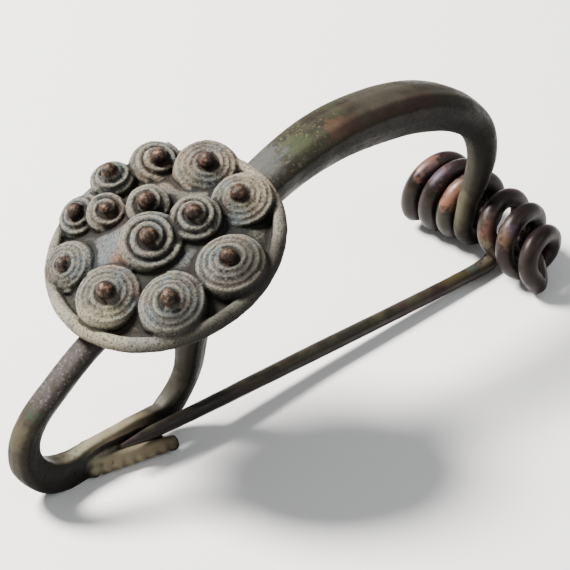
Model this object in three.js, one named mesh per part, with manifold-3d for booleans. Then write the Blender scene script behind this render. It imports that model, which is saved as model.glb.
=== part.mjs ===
// Celtic bronze bow brooch (fibula) with a large ornamented foot disc.
// Millimetres, +Z up. The brooch stands on its foot and on its spring, long axis along X,
// foot at -X, spring at +X, spring axis along Y.
//
// Three solids:
//   bow   one cast and forged length of bronze: foot, catch, leg, bow and spring
//   disc  the cast ornament seated on the foot, thirteen stepped spirals with knobs
//   pin   the end of the spring wire, free to swing about the spring axis
import * as THREE from 'three';
import { mergeVertices } from 'three/addons/utils/BufferGeometryUtils.js';
import Module from 'manifold-3d';

// ---------------------------------------------------------------- driving dimensions
const GAP = 0.3;                      // clearance between neighbouring solids
const REST_HEIGHT = 0.45;             // where foot and coils are worn flat

// Spring: a coil either side of the bow, joined by a strand that runs back through their core.
const SPRING = {
  x: 82.5,                            // axis position
  radius: 4.1, wire: 1.43,            // mean coil radius, wire radius
  archX: 0.8, archZ: 1.2,             // the middle of the spring stands back and up by this
  archMiddle: 2.5, archHalf: 13,      // where along Y the arch peaks, and its half length
  bowY: 2.2, farPitch: 3.4, farTurns: 3.1,
  nearY: -11.1, nearPitch: 4.25,
  widen: 0.5, tighten: 0.8,           // far coils open out, the outermost near coil closes up
  stepsPerTurn: 13,
};

// Disc: centre of its rim plane, tilt towards the foot, and cast relief.
const DISC = {
  x: 20.4, z: 31.1, tilt: THREE.MathUtils.degToRad(21.5),
  radius: 17.2, rimUnder: -1.0,
};

const PIN = { root: 1.2, shaft: 1.17, tip: 0.25 };

// ---------------------------------------------------------------- cross-sections
// Each outline is nine points (side, up) for a bar of width 1 and height 1, clockwise from
// the top, so that one outline can pass smoothly into another.
const mirrored = (half) => [
  [0, 0.5], ...half, ...half.toReversed().map(([side, up]) => [-side, up]),
];
const SHOULDERED = mirrored([[0.32, 0.44], [0.5, 0.24], [0.42, -0.08], [0.2, -0.47]]);
const SQUARED = mirrored([[0.42, 0.5], [0.5, 0.2], [0.5, -0.2], [0.42, -0.5]]);
const ROUND = SHOULDERED.map((_, i) => {
  const angle = (i / SHOULDERED.length) * 2 * Math.PI;
  return [0.5 * Math.sin(angle), 0.5 * Math.cos(angle)];
});

const blendOutline = (from, to, amount) =>
  from.map(([side, up], i) => [
    THREE.MathUtils.lerp(side, to[i][0], amount),
    THREE.MathUtils.lerp(up, to[i][1], amount),
  ]);

// ---------------------------------------------------------------- geometry helpers
function indexedGeometry(points, triangles) {
  const geometry = new THREE.BufferGeometry();
  geometry.setAttribute('position', new THREE.Float32BufferAttribute(points.flatMap((p) => p.toArray()), 3));
  geometry.setIndex(triangles.flat());
  return geometry;
}

// Closes a row of equal rings into a solid with flat ends.
function loft(rings) {
  const count = rings[0].length;
  const triangles = [];
  for (let row = 0; row + 1 < rings.length; row++) {
    for (let i = 0; i < count; i++) {
      const a = row * count + i;
      const b = row * count + ((i + 1) % count);
      triangles.push([a, a + count, b], [b, a + count, b + count]);
    }
  }
  const capTriangles = (ring) => {
    const normal = new THREE.Vector3();
    ring.forEach((p, i) => normal.add(p.clone().cross(ring[(i + 1) % count])));
    const side = ring[1].clone().sub(ring[0]).cross(normal).normalize();
    const along = normal.clone().cross(side).normalize();
    const flat = ring.map((p) => new THREE.Vector2(p.dot(side), p.dot(along)));
    return THREE.ShapeUtils.triangulateShape(flat, []);
  };
  const last = (rings.length - 1) * count;
  for (const [a, b, c] of capTriangles(rings[0])) triangles.push([a, b, c]);
  for (const [a, b, c] of capTriangles(rings.at(-1))) triangles.push([last + a, last + c, last + b]);
  return indexedGeometry(rings.flat(), triangles);
}

// Carries a cross-section along stations { at, width, height, outline }, without twist.
function sweep(stations) {
  const side = new THREE.Vector3(0, 1, 0);
  const rings = stations.map(({ at, width, height, outline }, i) => {
    const before = stations[Math.max(i - 1, 0)].at;
    const after = stations[Math.min(i + 1, stations.length - 1)].at;
    const tangent = after.clone().sub(before).normalize();
    side.addScaledVector(tangent, -side.dot(tangent)).normalize();
    const up = tangent.clone().cross(side);
    return outline.map(([s, u]) =>
      at.clone().addScaledVector(side, s * width).addScaledVector(up, u * height));
  });
  return loft(rings);
}

// A smooth curve through control rows [x, y, z, width, height], evenly stepped.
function smoothStations(rows, steps, outlineAt) {
  const path = new THREE.CatmullRomCurve3(
    rows.map(([x, y, z]) => new THREE.Vector3(x, y, z)), false, 'centripetal');
  const sizes = new THREE.CatmullRomCurve3(rows.map(([, , , w, h]) => new THREE.Vector3(w, h, 0)));
  return Array.from({ length: steps + 1 }, (_, i) => {
    const along = path.getUtoTmapping(i / steps);
    const size = sizes.getPoint(along);
    return { at: path.getPoint(along), width: size.x, height: size.y, outline: outlineAt(i / steps) };
  });
}

const wasm = await Module();
wasm.setup();

function toSolid(geometry) {
  const bare = geometry.clone();
  bare.deleteAttribute('normal');
  bare.deleteAttribute('uv');
  const merged = mergeVertices(bare, 1e-4);
  return new wasm.Manifold(new wasm.Mesh({
    numProp: 3,
    vertProperties: new Float32Array(merged.attributes.position.array),
    triVerts: new Uint32Array(merged.index.array),
  }));
}

function toGeometry(solid) {
  const mesh = solid.getMesh();
  const geometry = new THREE.BufferGeometry();
  geometry.setAttribute('position', new THREE.BufferAttribute(mesh.vertProperties, 3));
  geometry.setIndex(new THREE.BufferAttribute(mesh.triVerts, 1));
  geometry.computeVertexNormals();
  return geometry;
}

// ---------------------------------------------------------------- spring
// Centre of the coils at a place along the spring; the middle of the spring arches up.
function springCentre(y) {
  const arch = Math.max(0, 1 - ((y - SPRING.archMiddle) / SPRING.archHalf) ** 2);
  const x = SPRING.x + SPRING.archX * arch;
  return new THREE.Vector2(x, SPRING.radius + SPRING.wire + SPRING.archZ * arch);
}

// A point on a coil: turn 0 is the front, a quarter is underneath, a half is the back.
function coilPoint(turn, y, radius = SPRING.radius) {
  const centre = springCentre(y);
  const angle = turn * 2 * Math.PI;
  return new THREE.Vector3(centre.x - radius * Math.cos(angle), y, centre.y - radius * Math.sin(angle));
}

const wireStation = (at, radius = SPRING.wire) =>
  ({ at, width: 2 * radius, height: 2 * radius, outline: ROUND });

function coilStations(fromTurn, toTurn, pointAt) {
  const steps = Math.round(Math.abs(toTurn - fromTurn) * SPRING.stepsPerTurn);
  return Array.from({ length: steps + 1 }, (_, i) => {
    return wireStation(pointAt(THREE.MathUtils.lerp(fromTurn, toTurn, i / steps)));
  });
}

function farCoilPoint(turn) {
  const radius = SPRING.radius + SPRING.widen * THREE.MathUtils.smoothstep(turn, 0.2, 1.8);
  return coilPoint(turn, SPRING.bowY + turn * SPRING.farPitch, radius);
}

// Near coils run backwards from underneath the outermost one to the root of the pin.
const NEAR_START = 0.1;
const NEAR_END = -2.64;
const LAST_TOP = -2.25;
const PIN_CROSSING = { turn: -1.82, aside: 1.0, lift: 1.4, spread: 0.18 };
function nearCoilPoint(turn) {
  const crossing = Math.exp(-(((turn - PIN_CROSSING.turn) / PIN_CROSSING.spread) ** 2));
  const pastTop = Math.min(turn - LAST_TOP, 0);
  const y = SPRING.nearY - (turn - 0.7 * pastTop) * SPRING.nearPitch - PIN_CROSSING.aside * crossing;
  const radius = SPRING.radius - SPRING.tighten * THREE.MathUtils.smoothstep(turn, -1.05, -0.45);
  return coilPoint(turn, y, radius).add(new THREE.Vector3(0, 0, PIN_CROSSING.lift * crossing));
}

// Each end of the wire turns back into the core, which carries it through to the other coil.
function coreRows(end, inwards) {
  const wide = 2 * SPRING.wire;
  const at = (y, x, z) => {
    const centre = springCentre(y);
    return [centre.x + x, y, centre.y + z, wide, wide];
  };
  return [
    at(end.y + 0.2 * inwards, -1.6, -3.4),
    at(end.y + 1.1 * inwards, -0.6, -3.0),
    at(end.y + 2.2 * inwards, -0.2, -1.7),
    at(end.y + 3.6 * inwards, -0.1, -0.5),
    at(end.y + 6.5 * inwards, 0, 0),
  ];
}

function springStations() {
  const far = coilStations(0, SPRING.farTurns, farCoilPoint);
  const near = coilStations(NEAR_START, NEAR_END, nearCoilPoint);
  const core = [...coreRows(far.at(-1).at, -1), ...coreRows(near[0].at, 1).toReversed()];
  return [...far, ...smoothStations(core, 18, () => ROUND), ...near];
}

// ---------------------------------------------------------------- bow, leg, foot and catch
// Control rows are [x, y, z, width, height]; the broad face of the section looks outwards.
const BOW_ROWS = [
  [16.6, 0, 3.8, 1.2, 2.2],
  [19.6, 0, 4.1, 2.7, 3.8],
  [22.3, 0, 6.1, 3.3, 4.0],
  [24.2, 0, 9.1, 3.6, 4.3],
  [25.0, 0, 13.4, 4.2, 4.6],
  [26.0, 0, 19.0, 5.2, 5.2],
  [29.0, 0, 25.5, 6.2, 6.2],
  [34.2, 0, 31.0, 6.8, 6.9],
  [41.5, 0, 34.4, 7.4, 7.3],
  [50.0, 0, 36.0, 8.0, 7.7],
  [59.0, 0, 35.4, 8.0, 7.8],
  [67.5, 0, 33.2, 7.4, 7.2],
  [74.6, 0, 29.3, 6.6, 6.0],
  [79.1, 0.1, 24.3, 5.4, 4.8],
  [80.4, 0.3, 19.0, 4.4, 4.3],
  [79.8, 0.9, 14.0, 3.6, 3.7],
  [79.0, 1.8, 10.2, 3.0, 3.1],
];
const FOOT_ROWS = [
  [20.6, 0, 4.9, 1.4, 1.8],
  [17.5, 0, 3.7, 2.1, 3.9],
  [13.0, 0, 3.2, 2.0, 5.0],
  [6.5, 0, 2.95, 2.2, 5.2],
  [2.0, 0, 2.8, 3.0, 4.9],
  [-2.0, 0, 4.2, 3.9, 4.6],
  [-4.7, 0, 7.3, 4.2, 4.6],
  [-5.0, 0, 10.9, 4.1, 4.4],
  [-3.2, 0, 14.2, 4.0, 4.0],
  [0.8, 0, 17.5, 3.9, 3.8],
  [6.2, 0, 21.2, 3.9, 3.7],
  [12.5, 0, 24.0, 4.0, 3.6],
  [20.0, 0, 26.9, 4.0, 3.4],
  [31.0, 0, 30.6, 4.0, 3.4],
];

function bowOutline(along) {
  const fromBar = THREE.MathUtils.smoothstep(along, 0.0, 0.1);
  const toWire = THREE.MathUtils.smoothstep(along, 0.78, 0.97);
  return blendOutline(blendOutline(SQUARED, SHOULDERED, fromBar), ROUND, toWire);
}
const footOutline = (along) =>
  blendOutline(SQUARED, SHOULDERED, THREE.MathUtils.smoothstep(along, 0.26, 0.42));

// Catch: a floor that runs from under the bar and curls up into a lip on the near side.
const CATCH = {
  start: 3.5, end: 18.2, wall: 1.2, reach: 3.7, under: 0.6, floorRise: 0.2, height: 3.1, fall: 0.9,
  ribs: 8, ribFrom: 5.0, ribHeight: 0.6, stepsPerRib: 6,
};

function catchRing(x) {
  const open = THREE.MathUtils.clamp((x - CATCH.start) / (CATCH.end - CATCH.start), 0, 1);
  const alongRibs = (x - CATCH.ribFrom) / (CATCH.end - CATCH.ribFrom);
  const ribWave = Math.abs(Math.sin(Math.PI * CATCH.ribs * alongRibs));
  const rib = x > CATCH.ribFrom ? CATCH.ribHeight * ribWave : 0;
  const lip = -(CATCH.wall + CATCH.reach * open ** 0.8);
  const under = CATCH.under + CATCH.floorRise * open;
  const top = under + CATCH.height - CATCH.fall * open;
  const floor = top - 0.35 - 0.9 * THREE.MathUtils.smoothstep(open, 0.35, 0.9);
  const inner = lip + CATCH.wall;
  return [
    [0.1, 3.3], [0.1, under + 0.9], [-0.5, under + 0.5], [lip * 0.55, under - rib * 0.4],
    [lip * 0.9 - rib * 0.6, under + 0.3 - rib * 0.4], [lip - rib, under + 0.9],
    [lip - rib * 0.2, under + 1.7],
    [lip + 0.15, top - 0.3], [lip + 0.5 * CATCH.wall, top], [inner, top - 0.15], [inner + 0.15, floor],
    [-0.35, floor + 0.1], [-0.25, 4.2],
  ].map(([y, z]) => new THREE.Vector3(x, y, z));
}

function makeCatch() {
  const steps = CATCH.ribs * CATCH.stepsPerRib;
  const rings = Array.from({ length: steps + 1 }, (_, i) =>
    catchRing(THREE.MathUtils.lerp(CATCH.start, CATCH.end, i / steps)));
  return toSolid(loft(rings));
}

// Everything above the seat is cleared from bow and foot, so that the disc lies on them.
function makeDiscSeat() {
  const height = 12;
  const seat = new THREE.CylinderGeometry(DISC.radius + GAP, DISC.radius + GAP, height, 40);
  seat.rotateX(Math.PI / 2);
  seat.translate(0, 0, height / 2 + DISC.rimUnder - GAP);
  seat.rotateY(-DISC.tilt);
  seat.translate(DISC.x, 0, DISC.z);
  return toSolid(seat);
}

// The foot and the coils are worn flat where they meet the surface.
function makeSurface() {
  return toSolid(new THREE.BoxGeometry(200, 80, 4).translate(40, 0, REST_HEIGHT - 2));
}

function makeBow() {
  const forged = smoothStations(BOW_ROWS, 38, bowOutline);
  const bow = toSolid(sweep([...forged, ...springStations()]));
  const foot = toSolid(sweep(smoothStations(FOOT_ROWS, 30, footOutline)));
  return toGeometry(bow.add(foot).add(makeCatch()).subtract(makeDiscSeat()).subtract(makeSurface()));
}

// ---------------------------------------------------------------- disc
// One stepped spiral: a crest that winds outwards and down between grooves, on a short skirt.
function makeSpiral({ radius, height, turns, skirt }) {
  const perTurn = 10;
  const last = Math.round(turns * perTurn);
  const pitch = radius / (turns + 0.5);
  const points = [new THREE.Vector3(0, 0, height)];
  const crest = [];
  const groove = [];
  const addPoint = (angle, r, dip) => {
    const z = height * Math.max(0, 1 - r / radius) ** 0.85 - dip;
    points.push(new THREE.Vector3(r * Math.cos(angle), r * Math.sin(angle), z));
    return points.length - 1;
  };
  for (let i = 0; i <= last; i++) {
    const angle = (i / perTurn) * 2 * Math.PI;
    const r = pitch * (i / perTurn);
    crest.push(addPoint(angle, r + pitch * 0.5, -0.12));
    groove.push(addPoint(angle, r + pitch, 0.42));
  }
  const inner = (i) => (i < perTurn ? 0 : groove[i - perTurn]);
  const triangles = [[0, groove[0], crest[0]]];
  for (let i = 0; i < last; i++) {
    triangles.push([inner(i), crest[i], crest[i + 1]]);
    if (i >= perTurn - 1) triangles.push([inner(i), crest[i + 1], inner(i + 1)]);
    triangles.push([crest[i], groove[i], groove[i + 1]], [crest[i], groove[i + 1], crest[i + 1]]);
  }
  const rim = [...groove.slice(last - perTurn), crest[last]];
  const foot = rim.map((index) => points.push(points[index].clone().setZ(-skirt)) - 1);
  const centre = points.push(new THREE.Vector3(0, 0, -skirt)) - 1;
  rim.forEach((top, i) => {
    const next = (i + 1) % rim.length;
    triangles.push([top, foot[i], rim[next]], [rim[next], foot[i], foot[next]]);
    triangles.push([centre, foot[next], foot[i]]);
  });
  return indexedGeometry(points, triangles);
}

function makeKnob(radius, height) {
  const profile = [
    [0, -0.6], [radius * 0.8, -0.3], [radius, height * 0.35], [radius * 0.72, height * 0.85], [0, height],
  ];
  const knob = new THREE.LatheGeometry(profile.map(([r, z]) => new THREE.Vector2(r, z)), 8);
  return knob.rotateX(Math.PI / 2);
}

// Plate of the disc: a thick rolled rim, a groove inside it and a low dome, hollow beneath.
function discPlate() {
  const profile = [
    [0, 0.9], [8.5, 0.3], [13.2, -0.7], [15.2, DISC.rimUnder], [16.6, DISC.rimUnder],
    [DISC.radius, 0], [16.7, 1.0], [15.8, 1.2], [15.0, 0.3], [12.2, 1.7], [6.5, 3.5], [0, 4.2],
  ];
  const plate = new THREE.LatheGeometry(profile.map(([r, z]) => new THREE.Vector2(r, z)), 36);
  return plate.rotateX(Math.PI / 2);
}

// Ornaments on the disc's own plane: place of the lowest ring's middle, its radius, and the
// lean of the axis as the X and Y parts of its direction.
const ORNAMENTS = [
  [3.3, 13.7, 3.0, 3.7, 0.07, -0.03], [9.3, 10.7, 2.0, 3.6, 0.2, -0.36],
  [12.6, 3.8, 2.1, 4.1, 0.1, -0.39], [11.2, -4.9, 2.5, 4.1, -0.1, -0.2],
  [2.6, -11.7, 2.6, 4.7, -0.01, -0.11], [-6.8, -9.8, 2.6, 4.4, -0.19, -0.31],
  [-11.1, -1.4, 2.9, 3.9, -0.06, -0.34], [-10.6, 8.2, 1.9, 3.5, -0.5, -0.02],
  [-3.5, 13.7, 1.9, 3.6, -0.26, 0.04],
  [2.4, 4.2, 4.6, 2.6, -0.13, -0.32], [4.6, -3.2, 4.5, 3.2, -0.06, -0.26],
  [-1.9, -1.1, 4.9, 4.1, -0.08, -0.31], [-1.4, 9.1, 3.6, 2.7, -0.07, -0.31],
];

function makeDisc() {
  let disc = toSolid(discPlate());
  const height = 2.4;
  const up = new THREE.Vector3(0, 0, 1);
  for (const [x, y, z, radius, leanX, leanY] of ORNAMENTS) {
    const axis = new THREE.Vector3(leanX, leanY, Math.sqrt(1 - leanX ** 2 - leanY ** 2));
    const foot = new THREE.Vector3(x, y, z).addScaledVector(axis, -0.9);
    const place = new THREE.Matrix4()
      .makeRotationFromQuaternion(new THREE.Quaternion().setFromUnitVectors(up, axis))
      .setPosition(foot);
    const spiral = makeSpiral({ radius, height, turns: 3, skirt: 0.9 }).applyMatrix4(place);
    const knob = makeKnob(1.2, 1.7).translate(0, 0, height).applyMatrix4(place);
    disc = disc.add(toSolid(spiral)).add(toSolid(knob));
  }
  // Crossing spirals can leave a sliver of no volume: only the disc itself is kept.
  const [whole] = disc.decompose().sort((a, b) => b.volume() - a.volume());
  return toGeometry(whole);
}

// ---------------------------------------------------------------- pin
// The pin leaves the last coil underneath, passes below the coil beside it and runs straight
// to the catch, where its point lies in the trough.
function makePin() {
  const start = NEAR_END - 0.045;
  const root = [];
  const steps = 4;
  for (let i = 0; i <= steps; i++) {
    const turn = THREE.MathUtils.lerp(start, -2.75, i / steps);
    root.push(wireStation(nearCoilPoint(turn), THREE.MathUtils.lerp(SPRING.wire, PIN.root, i / steps)));
  }
  const shaft = smoothStations([
    [81.6, -1.75, 2.1, 2 * PIN.root, 2 * PIN.root],
    [79.9, -2.4, 1.74, 2 * PIN.root, 2 * PIN.root],
    [77.6, -2.7, 1.74, 2.25, 2.25],
    [74.0, -2.8, 1.85, 2.15, 2.15],
    [65.0, -2.9, 2.2, 2.2, 2.2],
    [44.0, -3.0, 3.2, 2 * PIN.shaft, 2 * PIN.shaft],
    [22.0, -3.1, 4.2, 2.1, 2.1],
    [15.0, -3.0, 4.5, 1.9, 1.9],
    [9.4, -2.85, 4.8, 2 * PIN.tip, 2 * PIN.tip],
  ], 30, () => ROUND);
  return toGeometry(toSolid(sweep([...root, ...shaft])));
}

// ---------------------------------------------------------------- assembly
function piece(name, geometry, color, roughness, metalness) {
  const mesh = new THREE.Mesh(geometry, new THREE.MeshStandardMaterial({ color, roughness, metalness }));
  mesh.name = name;
  return mesh;
}

const brooch = new THREE.Group();
brooch.add(piece('bow', makeBow(), 0x3b3a31, 0.42, 0.75));
brooch.add(piece('pin', makePin(), 0x45423a, 0.45, 0.75));
const disc = piece('disc', makeDisc(), 0x6f6a60, 0.72, 0.5);
disc.position.set(DISC.x, 0, DISC.z);
disc.rotation.y = -DISC.tilt;
brooch.add(disc);

// The origin is under the middle of the brooch, on the surface that it stands on.
const box = new THREE.Box3().setFromObject(brooch, true);
brooch.position.set(-(box.min.x + box.max.x) / 2, -(box.min.y + box.max.y) / 2, -box.min.z);

export default brooch;
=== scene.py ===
# %% [markdown]
# # A Celtic bow brooch in bronze
# The brooch is one bar of bronze: it starts as a foot with a catch for the pin, climbs as a
# thick bow, thins to wire, winds a spring on both sides of the bow and ends as the pin. A cast
# disc covered in little coiled cones sits on the foot.
#
# The packed solids give the frame. Every measure below is in millimetres in the maker's own
# axes, with X from foot to spring and Z up, and one shift carries them onto the packed model.

# %% Frame and sizes
import math

import bpy
import numpy as np
from mathutils import Matrix, Vector


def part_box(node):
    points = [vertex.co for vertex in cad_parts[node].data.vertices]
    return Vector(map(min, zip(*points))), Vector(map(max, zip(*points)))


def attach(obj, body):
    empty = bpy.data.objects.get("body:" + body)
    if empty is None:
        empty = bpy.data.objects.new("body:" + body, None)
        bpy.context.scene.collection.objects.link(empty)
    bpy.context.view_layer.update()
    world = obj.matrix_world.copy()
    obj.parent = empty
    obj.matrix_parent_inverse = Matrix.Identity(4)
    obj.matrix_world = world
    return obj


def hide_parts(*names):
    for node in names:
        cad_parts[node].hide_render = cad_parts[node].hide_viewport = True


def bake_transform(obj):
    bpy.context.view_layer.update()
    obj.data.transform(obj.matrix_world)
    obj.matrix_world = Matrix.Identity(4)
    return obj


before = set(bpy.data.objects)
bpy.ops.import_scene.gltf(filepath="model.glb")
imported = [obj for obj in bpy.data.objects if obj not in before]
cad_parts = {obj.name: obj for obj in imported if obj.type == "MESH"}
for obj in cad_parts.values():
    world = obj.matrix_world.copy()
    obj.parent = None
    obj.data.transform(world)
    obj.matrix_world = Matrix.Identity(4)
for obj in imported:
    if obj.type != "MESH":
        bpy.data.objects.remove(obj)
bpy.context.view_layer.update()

MM = 0.001
FOOT_BACK = 7.37        # how far the foot's turn reaches behind the maker's zero
WORN_FLAT = 0.45        # height of the flat that foot and coils are worn to
brooch_low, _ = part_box("bow")
SHIFT = np.array([brooch_low.x / MM + FOOT_BACK, 0.0, -WORN_FLAT])

WIRE = 1.43             # radius of the spring's wire
PIN_ROOT, PIN_SHAFT, PIN_TIP = 1.17, 1.15, 0.25
DISC_TILT = math.radians(21.5)
DISC_MIDDLE = np.array([20.4, 0.0, 31.1])
print("shift onto the packed model, mm:", SHIFT.round(3))

# %% [markdown]
# ## Arithmetic on sockets
# A node tree is easier to read as a sum than as a list of links. `Value` wraps one socket, and
# each operator adds the Math node that works it out. The reflected forms let a plain number
# come first, so `1 - mask` is a node as well. `ramp` is a soft step between two levels, which
# turns a noise into a mask.

# %% A value on a socket
class Value:
    def __init__(self, board, socket):
        self.board, self.socket = board, socket

    def math(self, operation, first, second):
        return self.board.add("ShaderNodeMath", {"operation": operation}, {0: first, 1: second})

    def __add__(self, other):
        return self.math("ADD", self, other)

    def __sub__(self, other):
        return self.math("SUBTRACT", self, other)

    def __rsub__(self, other):
        return self.math("SUBTRACT", other, self)

    def __mul__(self, other):
        return self.math("MULTIPLY", self, other)

    def __truediv__(self, other):
        return self.math("DIVIDE", self, other)

    def __rtruediv__(self, other):
        return self.math("DIVIDE", other, self)

    __radd__, __rmul__ = __add__, __mul__

    def ramp(self, low, high, to_low=0.0, to_high=1.0):
        sockets = {"Value": self, "From Min": low, "From Max": high, "To Min": to_low, "To Max": to_high}
        return self.board.add("ShaderNodeMapRange", {"interpolation_type": "SMOOTHSTEP"}, sockets)


print("a Value knows:", *(name.strip("_") for name in vars(Value)))

# %% [markdown]
# ## One method for every node
# `Board` holds a node tree and adds any kind of node to it: its type, then its settings, then
# its sockets, each a plain value or a link. The same class serves materials and Geometry Nodes,
# because both are node trees.

# %% A board of nodes
class Board:
    def __init__(self, tree):
        self.tree = tree

    def add(self, kind, settings=None, sockets=None, out=0):
        node = self.tree.nodes.new(kind)
        for name, setting in (settings or {}).items():
            setattr(node, name, setting)
        for name, given in (sockets or {}).items():
            if isinstance(given, Value):
                self.tree.links.new(given.socket, node.inputs[name])
            else:
                node.inputs[name].default_value = given
        return Value(self, node.outputs[out]) if len(node.outputs) else node

    def mix(self, first, second, factor):
        return self.add("ShaderNodeMix", {"data_type": "RGBA"}, {0: factor, 6: first, 7: second}, out=2)

    def tube(self, curve, radius, sides, **more):
        """A round cord along a curve."""
        round_sockets = {"Resolution": sides, "Radius": radius}
        circle = self.add("GeometryNodeCurvePrimitiveCircle", {"mode": "RADIUS"}, round_sockets)
        sockets = {"Curve": curve, "Profile Curve": circle, "Fill Caps": True, **more}
        return self.add("GeometryNodeCurveToMesh", {}, sockets)

    def join(self, *parts):
        """Join Geometry takes many links on one socket, so it is wired by hand."""
        node = self.tree.nodes.new("GeometryNodeJoinGeometry")
        for part in parts:
            self.tree.links.new(part.socket, node.inputs[0])
        return Value(self, node.outputs[0])


print("a Board knows:", *(name.strip("_") for name in vars(Board)))

# %% [markdown]
# ## Curves through control rows
# Bow, foot and pin are each a smooth curve through a few rows of place and thickness. A
# centripetal Catmull-Rom spline passes through every row without overshooting, and sampling it
# by length keeps the rings evenly spaced. A Bezier curve object could do the same, but then
# each row would need handles as well. A forged bar has soft edges, so `rounded` blends a
# smooth curve through the section's corners with the straight sides between them.

# %% Splines
def spline(points, at, power=0.5):
    """Points on the curve through `points` at the places `at`, counted in rows."""
    points = np.asarray(points, float)
    ends = 2 * points[0] - points[1], 2 * points[-1] - points[-2]
    padded = np.vstack([ends[0], points, ends[1]])
    row = np.clip(np.floor(at).astype(int), 0, len(points) - 2)
    t = (at - row)[:, None]
    p0, p1, p2, p3 = (padded[row + k] for k in range(4))

    def gap(a, b):
        return np.maximum(np.linalg.norm(b - a, axis=1) ** power, 1e-4)[:, None]

    d0, d1, d2 = gap(p0, p1), gap(p1, p2), gap(p2, p3)
    m1 = ((p1 - p0) / d0 - (p2 - p0) / (d0 + d1) + (p2 - p1) / d1) * d1
    m2 = ((p2 - p1) / d1 - (p3 - p1) / (d1 + d2) + (p3 - p2) / d2) * d1
    h = 2 * t**3 - 3 * t**2 + 1, t**3 - 2 * t**2 + t, -2 * t**3 + 3 * t**2, t**3 - t**2
    return h[0] * p1 + h[1] * m1 + h[2] * p2 + h[3] * m2


def follow(rows, steps):
    """Evenly spaced places and (width, height) pairs along control rows [x, y, z, w, h]."""
    rows = np.asarray(rows, float)
    fine = np.linspace(0, len(rows) - 1, 60 * len(rows))
    length = np.r_[0, np.cumsum(np.linalg.norm(np.diff(spline(rows[:, :3], fine), axis=0), axis=1))]
    at = np.interp(np.linspace(0, length[-1], steps + 1), length, fine)
    return spline(rows[:, :3], at), spline(rows[:, 3:], at)


def rounded(outline, per_side, crisp=0.0):
    """A closed outline with `per_side` points for each side, from round to crisp-edged."""
    closed = np.vstack([outline[-2:], outline, outline[:3]])
    at = np.arange(0, len(outline) * per_side) / per_side + 2
    straight = [np.interp(at, np.arange(len(closed)), closed[:, axis]) for axis in (0, 1)]
    return spline(closed, at) * (1 - crisp) + np.stack(straight, axis=-1) * crisp


print("even steps over uneven rows:", follow([[x, 0, 0, 1, 1] for x in (0, 1, 4)], 4)[0][:, 0].round(2))

# %% [markdown]
# ## Sweeping a bar
# A forged bar is one cross-section carried along a path. The section turns with the path by
# the smallest step each time (parallel transport), so it never twists by itself. The rings
# are joined by quads and capped at both ends; a Skin modifier would lose the exact sections.

# %% Sweep and mesh
def sweep(places, outlines):
    """Rings of a bar: each outline is (side, up) in mm about its place."""
    ahead = np.vstack([places[1:], places[-1:]]) - np.vstack([places[:1], places[:-1]])
    ahead /= np.linalg.norm(ahead, axis=1)[:, None]
    side, rings = np.array([0.0, 1.0, 0.0]), []
    for place, tangent, outline in zip(places, ahead, outlines):
        side = side - tangent * side.dot(tangent)
        side /= np.linalg.norm(side)
        up = np.cross(tangent, side)
        rings.append(place + outline[:, :1] * side + outline[:, 1:] * up)
    return np.array(rings)


def added(name, data):
    """A new object in the scene, at the origin and unturned."""
    piece = bpy.data.objects.new(name, data)
    bpy.context.scene.collection.objects.link(piece)
    return piece


def meshed(name, places, edges=(), faces=()):
    mesh = bpy.data.meshes.new(name)
    mesh.from_pydata(np.asarray(places).tolist(), list(edges), list(faces))
    return added(name, mesh)


def lofted(name, rings):
    """A closed mesh through equal rings, in metres and in its place in the frame."""
    count, around = rings.shape[:2]
    i = np.arange(count - 1)[:, None] * around
    j = np.arange(around)[None, :]
    k = (j + 1) % around
    quads = np.stack([i + j, i + around + j, i + around + k, i + k], axis=-1).reshape(-1, 4)
    caps = [list(range(around)), [(count - 1) * around + n for n in reversed(range(around))]]
    return meshed(name, (rings.reshape(-1, 3) + SHIFT) * MM, faces=quads.tolist() + caps)


# %% [markdown]
# ## The spring's formula
# Wire wound on a rod is a helix, but this spring has sagged with age: its middle stands a
# little higher, the far coils have opened out and the last near coil has closed up. Each of
# these is one term in the formula of a coil's centre or radius. Blender's spiral node can't
# take such terms, so the path is worked out here and handed to a tree as points. From the end
# of the far coils the wire runs back to the near ones through the middle of the spring, out
# of sight, in five steps that each say how far along the spring and how far off its centre.

# %% Coils
SPRING_X, COIL = 82.5, 4.1
ARCH_X, ARCH_Z, ARCH_MIDDLE, ARCH_HALF = 0.6, 1.2, 2.5, 13.0
BOW_Y, FAR_PITCH, FAR_TURNS, WIDEN = 2.2, 3.4, 3.1, 0.5
NEAR_Y, NEAR_PITCH, NEAR_START, NEAR_END, TIGHTEN = -11.1, 4.25, 0.1, -2.64, 0.8
LAST_TOP = -2.25        # the turn from which the last near coil leans back along the spring
CROSSING = dict(turn=-1.82, aside=1.0, lift=1.4, spread=0.18)


def smoothstep(value, low, high):
    t = np.clip((value - low) / (high - low), 0, 1)
    return t * t * (3 - 2 * t)


def coil_centre(y):
    arch = np.maximum(0, 1 - ((y - ARCH_MIDDLE) / ARCH_HALF) ** 2)
    return SPRING_X + ARCH_X * arch, COIL + WIRE + ARCH_Z * arch


def coil_place(turn, y, radius):
    x, z = coil_centre(y)
    angle = 2 * np.pi * turn
    return np.stack([x - radius * np.cos(angle), y, z - radius * np.sin(angle)], axis=-1)


def far_coils(turn):
    return coil_place(turn, BOW_Y + turn * FAR_PITCH, COIL + WIDEN * smoothstep(turn, 0.2, 1.8))


def near_coils(turn):
    crossing = np.exp(-(((turn - CROSSING["turn"]) / CROSSING["spread"]) ** 2))
    past_top = np.minimum(turn - LAST_TOP, 0)
    y = NEAR_Y - (turn - 0.7 * past_top) * NEAR_PITCH - CROSSING["aside"] * crossing
    places = coil_place(turn, y, COIL - TIGHTEN * smoothstep(turn, -1.05, -0.45))
    places[:, 2] += CROSSING["lift"] * crossing
    return places


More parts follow.
